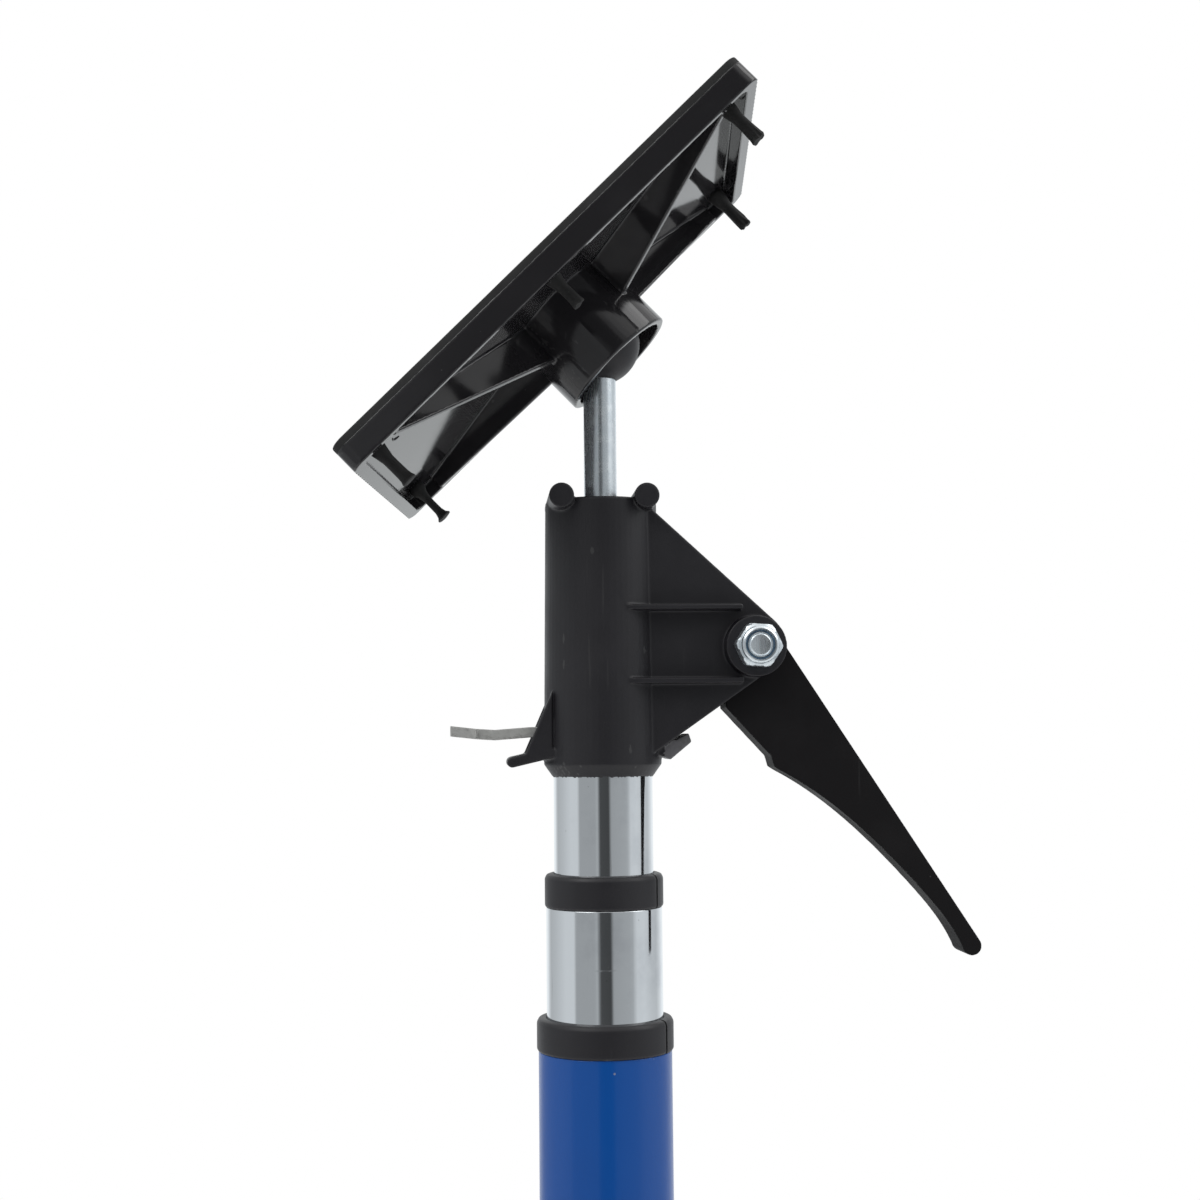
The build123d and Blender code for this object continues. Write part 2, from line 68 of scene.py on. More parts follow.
# ---- sizes of what is modelled here; millimetres where they are not multiplied by MM ------------
TUBE_WALL = 1.0 * MM
LEVER_WINDOW = (17.5, 46.2, 3.6)            # low, high and half width, from the housing's foot
BRAKE_WINDOW = (6.6, 15.0, 5.4)
BUSH_WALL = 0.95 * MM
BUSH_SLIT = -32.0                           # degrees round from +X; the front is at -90
BUSH_HALF_SLIT = 1.4                        # degrees
PAD_THICKNESS = 1.5 * MM
PAD_HALF_LENGTH, PAD_HALF_WIDTH = 63.28, 44.73
PAD_CORNER = 3.0
PAD_OVERLAP = 0.25                          # of the pad into the plate, so that no gap shows
PLATE_FLOOR = 3.7 * MM
PLATE_SHIFT = -1.2                          # from the hub to the plate's middle
NIPPLE_X, NIPPLE_Y = 56.0, 34.0
NIPPLE_TIP = 15.8
BALL_RADIUS = 10.0 * MM
BAR_RADIUS = 4.0 * MM
GROOVE_RADIUS = 3.42 * MM
GROOVE_WIDTH = 1.3 * MM
BOSS = 12.5 * MM                            # from the lever's middle to the bosses' faces
NUT_FLATS = 10.0 * MM
NUT_CORNER = 5.62 * MM                      # the hexagons' corners, just rounded off
NUT_TURN, BOLT_HEAD_TURN = 26.0, 34.0       # degrees
DRIVE_TRAVEL, BRAKE_TRAVEL = 19.33 * MM, 1.6 * MM

# ---- camera ------------------------------------------------------------------------------------
CAMERA_PLACE = (-0.03031, -0.43098, 1.108)   # metres
CAMERA_PITCH = 4.4385                    # degrees upwards
CAMERA_YAW = -3.9772                     # degrees towards -X
CAMERA_ROLL = -0.5124                    # degrees
CAMERA_LENS = 53.1637                    # mm on a 36 mm sensor


def add_camera():
    """The camera close in front of the pump head."""
    data = bpy.data.cameras.new("camera")
    data.lens = CAMERA_LENS
    data.sensor_width = 36.0
    data.clip_start = 0.01
    data.clip_end = 100.0
    camera = bpy.data.objects.new("camera", data)
    bpy.context.scene.collection.objects.link(camera)
    turn = (Matrix.Rotation(math.radians(CAMERA_YAW), 4, "Z")
            @ Matrix.Rotation(math.radians(90.0 + CAMERA_PITCH), 4, "X")
            @ Matrix.Rotation(math.radians(CAMERA_ROLL), 4, "Z"))
    camera.matrix_world = Matrix.Translation(Vector(CAMERA_PLACE)) @ turn
    bpy.context.scene.camera = camera


# ---- materials ---------------------------------------------------------------------------------
def grey(level):
    """A shader colour from an sRGB grey or triple of 0 to 255."""
    levels = (level,) * 3 if isinstance(level, (int, float)) else level
    linear = [((x / 255 + 0.055) / 1.055) ** 2.4 if x > 10 else x / 255 / 12.92 for x in levels]
    return (*linear, 1.0)


class Finish:
    """A procedural material in object coordinates, put together layer by layer."""

    def __init__(self, name, colour, roughness, metallic=0.0, **fixed):
        self.material = bpy.data.materials.new(name)
        self.material.use_nodes = True
        self.tree = self.material.node_tree
        self.shader = self.tree.nodes["Principled BSDF"]
        self.shader.inputs["Metallic"].default_value = metallic
        for socket, value in fixed.items():
            self.shader.inputs[socket.replace("_", " ")].default_value = value
        self.place = self.add("ShaderNodeTexCoord").outputs["Object"]
        self.colour = self.constant_colour(colour)
        self.roughness = self.constant(roughness)
        self.height = None

    def add(self, kind, **settings):
        node = self.tree.nodes.new(kind)
        for key, value in settings.items():
            setattr(node, key, value)
        return node

    def link(self, source, target):
        self.tree.links.new(source, target)

    def constant(self, value):
        node = self.add("ShaderNodeValue")
        node.outputs[0].default_value = value
        return node.outputs[0]

    def constant_colour(self, colour):
        node = self.add("ShaderNodeRGB")
        node.outputs[0].default_value = colour
        return node.outputs[0]

    def noise(self, scale, detail=4.0, rough=0.55, stretch=(1, 1, 1), turn=(0, 0, 0), shift=0.0):
        """Fractal noise; scale is in features per metre, stretched along chosen axes."""
        mapping = self.add("ShaderNodeMapping")
        mapping.inputs["Scale"].default_value = stretch
        mapping.inputs["Rotation"].default_value = [math.radians(a) for a in turn]
        mapping.inputs["Location"].default_value = (shift, shift * 0.7, shift * 1.3)
        texture = self.add("ShaderNodeTexNoise")
        texture.inputs["Scale"].default_value = scale
        texture.inputs["Detail"].default_value = detail
        texture.inputs["Roughness"].default_value = rough
        self.link(self.place, mapping.inputs["Vector"])
        self.link(mapping.outputs[0], texture.inputs["Vector"])
        return texture.outputs[0]

    def cells(self, scale, stretch=(1, 1, 1)):
        """Cell pattern whose value is constant inside each cell."""
        mapping = self.add("ShaderNodeMapping")
        mapping.inputs["Scale"].default_value = stretch
        texture = self.add("ShaderNodeTexVoronoi", feature="F1")
        texture.inputs["Scale"].default_value = scale
        self.link(self.place, mapping.inputs["Vector"])
        self.link(mapping.outputs[0], texture.inputs["Vector"])
        split = self.add("ShaderNodeSeparateColor")
        self.link(texture.outputs["Color"], split.inputs[0])
        return split.outputs[0]

    def specks(self, scale, size):
        """Small round specks, 1 inside and 0 outside."""
        texture = self.add("ShaderNodeTexVoronoi", feature="F1")
        texture.inputs["Scale"].default_value = scale
        self.link(self.place, texture.inputs["Vector"])
        return self.band(texture.outputs["Distance"], size, 0.6 * size)

    def band(self, value, low, high):
        """Rises smoothly from 0 at low to 1 at high."""
        node = self.add("ShaderNodeMapRange", interpolation_type="SMOOTHSTEP")
        node.inputs["From Min"].default_value = low
        node.inputs["From Max"].default_value = high
        self.link(value, node.inputs["Value"])
        return node.outputs[0]

    def span(self, value, low, high):
        """Rescales noise from its usual 0.3 to 0.7 into low to high."""
        node = self.add("ShaderNodeMapRange")
        node.inputs["From Min"].default_value = 0.3
        node.inputs["From Max"].default_value = 0.7
        node.inputs["To Min"].default_value = low
        node.inputs["To Max"].default_value = high
        self.link(value, node.inputs["Value"])
        return node.outputs[0]

    def maths(self, operation, a, b):
        node = self.add("ShaderNodeMath", operation=operation)
        for socket, value in zip(node.inputs, (a, b)):
            if isinstance(value, (int, float)):
                socket.default_value = value
            else:
                self.link(value, socket)
        return node.outputs[0]

    def edges(self, low, high):
        """1 along convex edges, where handling rubs the surface."""
        geometry = self.add("ShaderNodeNewGeometry")
        return self.band(geometry.outputs["Pointiness"], low, high)

    def paint(self, mask, colour, share=1.0):
        """Lays a colour over what is there where mask is 1."""
        node = self.add("ShaderNodeMix", data_type="RGBA")
        self.link(self.maths("MULTIPLY", mask, share), node.inputs[0])
        self.link(self.colour, node.inputs[6])
        node.inputs[7].default_value = colour
        self.colour = node.outputs[2]

    def roughen(self, mask, amount):
        """Adds to the roughness where mask is 1."""
        self.roughness = self.maths("ADD", self.roughness, self.maths("MULTIPLY", mask, amount))

    def raise_by(self, value, metres):
        """Adds relief of that height."""
        relief = self.maths("MULTIPLY", value, metres)
        self.height = relief if self.height is None else self.maths("ADD", self.height, relief)

    def done(self):
        clamp = self.add("ShaderNodeClamp")
        clamp.inputs["Min"].default_value = 0.02
        self.link(self.roughness, clamp.inputs["Value"])
        self.link(clamp.outputs[0], self.shader.inputs["Roughness"])
        self.link(self.colour, self.shader.inputs["Base Color"])
        if self.height is not None:
            bump = self.add("ShaderNodeBump")
            bump.inputs["Strength"].default_value = 1.0
            bump.inputs["Distance"].default_value = 1.0
            self.link(self.height, bump.inputs["Height"])
            self.link(bump.outputs[0], self.shader.inputs["Normal"])
        return self.material


def scratches(finish, direction, density):
    """Thin straight scratches: stretched noise, cut to its highest ridges and broken up."""
    fine = finish.noise(900.0, 2.0, 0.5, stretch=(1, 1, 0.03), turn=direction)
    lines = finish.band(fine, density, density + 0.03)
    patches = finish.band(finish.noise(35.0, 3.0), 0.48, 0.62)
    return finish.maths("MULTIPLY", lines, patches)


def satin_plastic():
    """Black moulded plastic with a fine spark-eroded grain."""
    f = Finish("satin_black_plastic", grey((31, 30, 34)), 0.46, Specular_IOR_Level=0.42)
    grain = f.noise(2600.0, 3.0, 0.6)
    cloud = f.noise(60.0, 4.0)
    f.paint(f.band(cloud, 0.45, 0.72), grey((38, 37, 41)), 0.5)
    f.paint(f.edges(0.53, 0.60), grey(74), 0.5)
    f.paint(f.specks(330.0, 0.04), grey(84), 0.3)
    marks = scratches(f, (30, 55, 0), 0.69)
    f.paint(marks, grey(66), 0.25)
    f.roughen(f.span(cloud, -0.06, 0.08), 1.0)
    f.roughen(marks, 0.15)
    f.raise_by(grain, 0.022 * MM)
    f.raise_by(f.noise(240.0, 3.0), 0.03 * MM)
    return f.done()


def gloss_plastic():
    """Black plastic from a polished mould, with sink marks, handling scuffs and dust."""
    f = Finish("gloss_black_plastic", grey((36, 35, 37)), 0.075, Specular_IOR_Level=0.5)
    cloud = f.noise(45.0, 4.0)
    f.paint(f.band(cloud, 0.46, 0.74), grey((42, 41, 43)), 0.6)
    f.paint(f.edges(0.53, 0.61), grey(66), 0.45)
    f.paint(f.specks(200.0, 0.04), grey(92), 0.4)
    marks = scratches(f, (70, 10, 25), 0.68)
    f.paint(marks, grey(70), 0.3)
    f.roughen(f.span(cloud, -0.02, 0.04), 1.0)
    f.roughen(marks, 0.1)
    f.raise_by(f.noise(60.0, 1.0, 0.3), 0.02 * MM)
    return f.done()


def lever_plastic():
    """Black moulded plastic of the lever: dull, and marked where hands have held it."""
    f = Finish("lever_plastic", grey((32, 31, 32)), 0.55, Specular_IOR_Level=0.03)
    cloud = f.noise(70.0, 4.0)
    f.paint(f.band(cloud, 0.45, 0.72), grey((38, 37, 38)), 0.55)
    f.paint(f.edges(0.53, 0.60), grey(70), 0.5)
    f.paint(f.specks(150.0, 0.035), grey(92), 0.4)
    marks = scratches(f, (15, 35, 0), 0.69)
    f.paint(marks, grey(70), 0.3)
    f.roughen(f.span(cloud, -0.1, 0.08), 1.0)
    f.raise_by(f.noise(2400.0, 3.0, 0.6), 0.015 * MM)
    f.raise_by(f.noise(200.0, 3.0), 0.03 * MM)
    return f.done()


def rubber():
    """Matt black rubber, a little dusty."""
    f = Finish("rubber", grey(34), 0.72, Specular_IOR_Level=0.35)
    f.paint(f.band(f.noise(80.0, 5.0, 0.6), 0.5, 0.75), grey(60), 0.35)
    f.paint(f.specks(420.0, 0.06), grey(110), 0.3)
    f.roughen(f.span(f.noise(150.0, 3.0), -0.08, 0.08), 1.0)
    f.raise_by(f.noise(1400.0, 4.0, 0.65), 0.04 * MM)
    f.raise_by(f.noise(200.0, 2.0), 0.06 * MM)
    return f.done()


def chrome():
    """Bright chrome on a drawn tube: faint lengthwise draw lines, haze and fine scratches."""
    f = Finish("chrome", grey((229, 233, 236)), 0.055, 1.0)
    draw = f.noise(700.0, 3.0, 0.6, stretch=(1, 1, 0.012))
    haze = f.noise(55.0, 5.0, 0.6)
    marks = scratches(f, (8, 4, 0), 0.68)
    rings = f.band(f.noise(420.0, 2.0, 0.5, stretch=(0.02, 0.02, 1)), 0.66, 0.70)
    wear = f.maths("MULTIPLY", rings, f.band(f.noise(28.0, 2.0), 0.52, 0.64))
    f.paint(f.band(haze, 0.5, 0.75), grey((205, 209, 214)), 0.6)
    f.paint(marks, grey(190), 0.5)
    f.paint(f.specks(210.0, 0.035), grey(120), 0.5)
    f.roughen(f.span(draw, -0.02, 0.035), 1.0)
    f.roughen(f.band(haze, 0.5, 0.78), 0.07)
    f.roughen(marks, 0.2)
    f.roughen(wear, 0.16)
    f.raise_by(draw, 0.012 * MM)
    f.raise_by(f.noise(60.0, 2.0, 0.4, stretch=(1, 1, 0.25)), 0.02 * MM)
    return f.done()


def blue_paint():
    """Glossy blue powder coat with a slight orange peel, rub marks and a few chips."""
    f = Finish("blue_paint", grey((0, 77, 158)), 0.35, Coat_Weight=0.35, Coat_Roughness=0.06,
               Specular_IOR_Level=0.3)
    cloud = f.noise(30.0, 4.0)
    f.paint(f.band(cloud, 0.42, 0.70), grey((0, 69, 146)), 0.5)
    rub = f.noise(1100.0, 2.0, 0.5, stretch=(0.03, 0.03, 1))
    rubs = f.maths("MULTIPLY", f.band(rub, 0.62, 0.68), f.band(f.noise(14.0, 3.0), 0.5, 0.66))
    f.paint(rubs, grey((70, 120, 176)), 0.4)
    f.paint(f.specks(75.0, 0.03), grey((150, 152, 155)), 0.7)
    f.roughen(rubs, 0.25)
    f.roughen(f.span(cloud, -0.04, 0.06), 1.0)
    f.raise_by(f.noise(330.0, 2.0, 0.4), 0.05 * MM)
    return f.done()


def zinc():
    """Bright zinc plating with a bluish cast, mottled, with smudges of handling."""
    f = Finish("zinc_steel", grey((222, 230, 235)), 0.26, 0.9)
    mottle = f.noise(420.0, 5.0, 0.65)
    f.paint(f.band(mottle, 0.42, 0.68), grey((236, 242, 245)), 0.7)
    smudges = f.noise(160.0, 3.0, 0.6, stretch=(1, 1, 0.35))
    f.paint(f.band(smudges, 0.66, 0.78), grey((140, 148, 158)), 0.35)
    f.paint(f.specks(330.0, 0.05), grey(84), 0.5)
    draw = f.noise(1500.0, 3.0, 0.6, stretch=(1, 1, 0.02))
    f.roughen(f.span(draw, -0.04, 0.05), 1.0)
    f.roughen(f.band(mottle, 0.5, 0.75), 0.10)
    f.raise_by(draw, 0.006 * MM)
    f.raise_by(mottle, 0.005 * MM)
    return f.done()


def plain_steel():
    """Dull hot-dip galvanised sheet with grey patches."""
    f = Finish("plain_steel", grey((176, 176, 173)), 0.5, 0.3)
    f.paint(f.band(f.cells(420.0), 0.35, 0.85), grey((192, 192, 188)), 0.5)
    f.paint(f.band(f.noise(900.0, 5.0, 0.75), 0.50, 0.66), grey((140, 139, 136)), 0.6)
    f.paint(f.edges(0.53, 0.60), grey(186), 0.5)
    marks = scratches(f, (20, 80, 0), 0.64)
    f.paint(marks, grey(190), 0.4)
    f.roughen(f.span(f.noise(300.0, 4.0), -0.1, 0.12), 1.0)
    f.raise_by(f.noise(900.0, 4.0, 0.6), 0.03 * MM)
    return f.done()


def spring_steel():
    """Drawn spring wire, lightly oiled."""
    f = Finish("spring_steel", grey((150, 150, 152)), 0.3, 1.0)
    f.paint(f.band(f.noise(300.0, 4.0), 0.45, 0.7), grey((104, 100, 96)), 0.5)
    f.roughen(f.span(f.noise(2200.0, 2.0), -0.08, 0.1), 1.0)
    f.raise_by(f.noise(1600.0, 3.0), 0.01 * MM)
    return f.done()


def nylon():
    """The lock nut's pale bluish nylon ring."""
    f = Finish("white_nylon", grey((92, 118, 140)), 0.38, Subsurface_Weight=0.1)
    f.paint(f.band(f.noise(700.0, 4.0), 0.45, 0.7), grey((64, 88, 112)), 0.6)
    f.roughen(f.span(f.noise(900.0, 3.0), -0.06, 0.08), 1.0)
    f.raise_by(f.noise(1500.0, 3.0), 0.02 * MM)
    return f.done()


def painted_reflection_stop_block():
    """The stop block's black plastic painted grey, mottled and specked: a painted reflection of the bright
    surroundings that its face catches at a grazing angle.
    """
    # painted reflection: grey base, darker mottle and light specks stand in for light glancing off black plastic
    f = Finish("stop_block_painted_reflection_grey", grey((104, 103, 106)), 0.5)
    f.paint(f.band(f.noise(500.0, 5.0, 0.65), 0.42, 0.66), grey(90), 0.7)
    f.paint(f.specks(380.0, 0.06), grey(140), 0.5)
    f.roughen(f.span(f.noise(300.0, 3.0), -0.08, 0.08), 1.0)
    f.raise_by(f.noise(1300.0, 3.0), 0.03 * MM)
    return f.done()


MATERIALS = {
    "satin_black_plastic": satin_plastic(),
    "gloss_black_plastic": gloss_plastic(),
    "rubber": rubber(),
    "chrome": chrome(),
    "blue_paint": blue_paint(),
    "zinc_steel": zinc(),
    "plain_steel": plain_steel(),
    "spring_steel": spring_steel(),
    "white_nylon": nylon(),
}
SLOT_OF = {part["node"]: part["material_slot"] for part in frame["record"]["subparts"]}
BODY_OF = {node: body for body, nodes in frame["record"]["behaviour"]["bodies"].items()
           for node in nodes}


# ---- mesh tools --------------------------------------------------------------------------------
def mesh_object(name, vertices, faces):
    """A new object from lists of points and faces."""
    mesh = bpy.data.meshes.new(name)
    mesh.from_pydata([tuple(v) for v in vertices], [], faces)
    mesh.validate()
    thing = bpy.data.objects.new(name, mesh)
    bpy.context.scene.collection.objects.link(thing)
    return thing


def skin(rings, count):
    """The faces of a closed skin over that many rings of count points, with both ends."""
    faces = []
    for k in range(rings - 1):
        for i in range(count):
            a, b = k * count + i, k * count + (i + 1) % count
            faces.append((a, b, b + count, a + count))
    faces.append(tuple(reversed(range(count))))
    faces.append(tuple(range((rings - 1) * count, rings * count)))
    return faces


def smooth(thing, angle=32.0):
    """Smooth shading, sharp only where faces meet at more than the angle."""
    mesh = thing.data
    mesh.shade_smooth()
    mesh.set_sharp_from_angle(angle=math.radians(angle))


def piece_name(node):
    """The piece that stands for a node has its name, with dashes."""
    return node.replace("_", "-")


def fit(thing, node, hides=True):
    """Gives a piece its slot's material and its body, and hides the CAD node that it stands for unless told not
    to.
    """
    slot = SLOT_OF[node]
    thing.data.materials.clear()
    thing.data.materials.append(MATERIALS[slot])
    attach(thing, BODY_OF[node])
    if hides:
        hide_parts(node)
    return thing


def baked(thing):
    """The object with its modifiers made real."""
    graph = bpy.context.evaluated_depsgraph_get()
    mesh = bpy.data.meshes.new_from_object(thing.evaluated_get(graph))
    thing.modifiers.clear()
    old = thing.data
    thing.data = mesh
    mesh.name = thing.name
    bpy.data.meshes.remove(old)
    return thing


def copy_of(name, *nodes):
    """One object with the meshes of some CAD nodes."""
    work = bmesh.new()
    for node in nodes:
        work.from_mesh(frame["nodes"][node].data)
    bmesh.ops.remove_doubles(work, verts=work.verts, dist=0.001 * MM)
    mesh = bpy.data.meshes.new(name)
    work.to_mesh(mesh)
    work.free()
    thing = bpy.data.objects.new(name, mesh)
    bpy.context.scene.collection.objects.link(thing)
    return thing


def join(thing, *others):
    """Adds other objects' meshes to the first one's and removes them."""
    work = bmesh.new()
    work.from_mesh(thing.data)
    for other in others:
        other.data.transform(other.matrix_world)
        work.from_mesh(other.data)
        bpy.data.objects.remove(other)
    work.to_mesh(thing.data)
    work.free()
    return thing


def moulded(thing, voxel, rounds, share):
    """One closed skin with softly rounded edges, as a moulding has them."""
    remesh = thing.modifiers.new("skin", "REMESH")
    remesh.mode = "VOXEL"
    remesh.voxel_size = voxel
    soften = thing.modifiers.new("soften", "SMOOTH")
    soften.factor = 0.5
    soften.iterations = rounds
    thin = thing.modifiers.new("thin", "DECIMATE")
    thin.ratio = share
    baked(thing)
    thing.data.shade_smooth()
    even = thing.modifiers.new("even", "WEIGHTED_NORMAL")
    even.weight = 80
    baked(thing)
    return thing


def lathe(name, profile, segments=128, place=None, start=0.0, end=360.0):
    """Turns a closed outline of (radius, height) points about +Z; a part turn gets end faces."""
    whole = abs(end - start) >= 360.0
    steps = segments if whole else segments + 1
    vertices, faces = [], []
    for i in range(steps):
        angle = math.radians(start + (end - start) * i / segments)
        for radius, height in profile:
            vertices.append((radius * math.cos(angle), radius * math.sin(angle), height))
    count = len(profile)
    for i in range(segments):
        for k in range(count):
            a, b = i * count + k, i * count + (k + 1) % count
            j = ((i + 1) % steps) * count
            faces.append((a, j + k, j + (k + 1) % count, b))
    if not whole:
        faces.append(tuple(range(count)))
        faces.append(tuple(reversed(range((steps - 1) * count, steps * count))))
    thing = mesh_object(name, vertices, faces)
    tidy_mesh(thing)
    if place is not None:
        thing.data.transform(place)
    return thing


def tidy_mesh(thing):
    """Merges points that coincide and makes the faces look outwards."""
    work = bmesh.new()
    work.from_mesh(thing.data)
    bmesh.ops.remove_doubles(work, verts=work.verts, dist=0.0005 * MM)
    bmesh.ops.dissolve_degenerate(work, edges=work.edges, dist=0.0005 * MM)
    bmesh.ops.recalc_face_normals(work, faces=work.faces)
    work.to_mesh(thing.data)
    work.free()


def rounded(points, radius, steps=4):
    """An outline with each corner replaced by a small arc (a quadratic curve)."""
    out = []
    count = len(points)
    for i in range(count):
        before, corner, after = (Vector((*points[(i + k) % count], 0)) for k in (-1, 0, 1))
        cut_a = min(radius, 0.45 * (before - corner).length)
        cut_b = min(radius, 0.45 * (after - corner).length)
        if cut_a < 1e-7 or cut_b < 1e-7 or abs(corner.x) < 1e-9:
            out.append((corner.x, corner.y))
            continue
        a = corner + (before - corner).normalized() * cut_a
        b = corner + (after - corner).normalized() * cut_b
        for k in range(steps + 1):
            t = k / steps
            p = a * (1 - t) ** 2 + corner * 2 * t * (1 - t) + b * t ** 2
            out.append((p.x, p.y))
    return out


def cut_box(thing, low, high):
    """Cuts a box-shaped opening."""
    work = bmesh.new()
    bmesh.ops.create_cube(work, size=1.0)
    mesh = bpy.data.meshes.new("cutter")
    work.to_mesh(mesh)
    work.free()
    low, high = Vector(low), Vector(high)
    size = high - low
    mesh.transform(Matrix.Translation((low + high) / 2) @ Matrix.Diagonal((*size, 1.0)))
    cutter = bpy.data.objects.new("cutter", mesh)
    bpy.context.scene.collection.objects.link(cutter)
    cut = thing.modifiers.new("cut", "BOOLEAN")
    cut.operation = "DIFFERENCE"
    cut.object = cutter
    cut.solver = "EXACT"
    baked(thing)
    bpy.data.objects.remove(cutter)


def tube_profile(outer, inner, bottom, top, edge=0.25 * MM):
    """The closed outline of a tube's wall with rounded rims."""
    return rounded([(inner, bottom), (outer, bottom), (outer, top), (inner, top)], edge)


# ---- telescopic tubes and their bushes ---------------------------------------------------------
def add_tubes():
    """The three tubes, turned finely; the inner one has its two windows."""
    for node in ("outer_tube", "middle_tube", "inner_tube"):
        low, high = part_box(node)
        outer = (high.x - low.x) / 2
        tube = lathe(piece_name(node), tube_profile(outer, outer - TUBE_WALL, low.z, high.z))
        if node == "inner_tube":
            cut_window(tube, LEVER_WINDOW, 8 * MM, 16 * MM)
            cut_window(tube, BRAKE_WINDOW, -16 * MM, -8 * MM)
        smooth(tube)
        fit(tube, node)


def cut_window(tube, window, low_x, high_x):
    """Cuts one window through the tube's wall, between those two places on X."""
    bottom, top, half = (size * MM for size in window)
    cut_box(tube, (low_x, -half, HOUSING_Z + bottom), (high_x, half, HOUSING_Z + top))


def add_bush(node, tube_node, rim_height):
    """A plastic end bush: sleeve inside the tube, rounded rim above it, slit on one side."""
    low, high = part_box(node)
    tube_low, tube_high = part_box(tube_node)
    rim = (high.x - low.x) / 2
    sleeve = (tube_high.x - tube_low.x) / 2 - TUBE_WALL
    bore = sleeve - BUSH_WALL
    top, seat = high.z, high.z - rim_height
    outline = [(bore, low.z), (sleeve, low.z), (sleeve, seat - 0.05 * MM), (rim - 0.35 * MM, seat),
               (rim, seat + 0.5 * MM), (rim, top - 1.2 * MM), (rim - 0.45 * MM, top - 0.3 * MM),
               (rim - 1.3 * MM, top), (bore + 0.3 * MM, top), (bore, top - 0.3 * MM)]
    bush = lathe(piece_name(node), rounded(outline, 0.3 * MM, 3), 144,
                 start=BUSH_SLIT + BUSH_HALF_SLIT, end=BUSH_SLIT + 360.0 - BUSH_HALF_SLIT)
    smooth(bush, 40.0)
    fit(bush, node)


# ---- head and foot: plate, pad, cup, ball ------------------------------------------------------
def head_place():
    """From a foot-like frame, pad face on z = 0, to the head."""
    inward = -HEAD_OUT
    side = -HEAD_SIDE
    along = side.cross(inward)
    matrix = Matrix((along, side, inward)).transposed().to_4x4()
    matrix.translation = BALL + HEAD_OUT * BALL_CENTRE
    return matrix


HEAD_PLACE = head_place()
FOOT_PLACE = Matrix.Identity(4)

# how each nipple's pulled and torn tip differs:
# waist radius, flare radius, tip length, lean, raggedness
NIPPLES = {
    (-1, 1): (1.45, 1.95, 0.0, 0.10, 0.06),
    (-1, -1): (1.05, 2.00, -0.4, -0.05, 0.08),
    (0, 1): (1.40, 1.60, -1.8, 0.05, 0.12),
    (0, -1): (1.45, 1.60, -1.8, -0.12, 0.12),
    (1, 1): (1.50, 1.65, 0.0, 0.10, 0.26),
    (1, -1): (1.55, 1.75, 0.2, -0.08, 0.30),
}

# the ends of the ejector's marks on the tray's floor
TRAY_MARKS = [((-52.9, 24.2), (-51.5, 21.3)), ((53.3, 22.2), (56.4, 25.4)),
              ((-20.0, 30.0), (-17.0, 31.4)), ((20.5, -31.0), (18.2, -28.8))]


def nipple(name, x, y, style):
    """One pull-through nipple: bulged root, waist, flared and torn tip."""
    waist, flare, longer, lean, ragged = style
    floor = PLATE_FLOOR / MM
    tip = NIPPLE_TIP + longer
    rings = [(floor - 3.0, 1.9), (floor - 0.3, 1.9), (floor + 0.1, 2.15), (floor + 0.9, 2.3),
             (floor + 2.0, 2.05), (floor + 3.2, waist + 0.35), (floor + 5.0, waist),
             (floor + 7.0, waist), (tip - 2.4, waist + 0.03),
             (tip - 1.1, 0.65 * waist + 0.35 * flare), (tip - 0.35, flare),
             (tip - 0.05, flare - 0.1), (tip, flare - 0.3), (tip, 0.01)]
    segments = 40
    vertices = []
    for height, radius in rings:
        share = max(0.0, (height - floor) / (tip - floor))
        for i in range(segments):
            angle = 2 * math.pi * i / segments
            c, s = math.cos(angle), math.sin(angle)
            wobble = noise.noise(Vector((2.2 * c + 3 * x, 2.2 * s + 5 * y, 0.35 * height)))
            local = radius * (1 + ragged * share ** 3 * wobble * 1.6)
            rise = ragged * 2.2 * share ** 6 * noise.noise(Vector((c + y, s + x, 7.7)))
            shift = lean * 1.6 * share ** 2
            vertices.append((x + (shift + local * c), y + local * s + 0.4 * shift,
                             height + (rise if radius > 0.1 else 0.0)))
    faces = skin(len(rings), segments)
    thing = mesh_object(name, [Vector(v) * MM for v in vertices], faces)
    tidy_mesh(thing)
    return thing


def pad_sheet(name, half_x, half_y, thickness, corner):
    """The rubber sheet, its edge cut a little unevenly."""
    outline = []
    for sx, sy, start in ((1, 1, 0), (-1, 1, 90), (-1, -1, 180), (1, -1, 270)):
        for k in range(9):
            angle = math.radians(start + 90 * k / 8)
            outline.append(Vector((sx * (half_x - corner) + corner * math.cos(angle),
                                   sy * (half_y - corner) + corner * math.sin(angle), 0)))
    points = []
    for i, a in enumerate(outline):
        b = outline[(i + 1) % len(outline)]
        pieces = max(1, round((b - a).length / 1.6))
        points += [a.lerp(b, k / pieces) for k in range(pieces)]
    levels = [(0.0, 0.3), (0.12, 0.1), (0.35, 0.0), (thickness, 0.0)]
    vertices = []
    for height, inset in levels:
        for p in points:
            wave = 0.10 * noise.noise(Vector((p.x * 0.09, p.y * 0.09, 2.0)))
            scale = 1 - (inset - wave) / max(p.length, 1.0)
            vertices.append((p.x * scale + PLATE_SHIFT, p.y * scale, height))
    faces = skin(len(levels), len(points))
    thing = mesh_object(name, [Vector(v) * MM for v in vertices], faces)
    tidy_mesh(thing)
    return thing


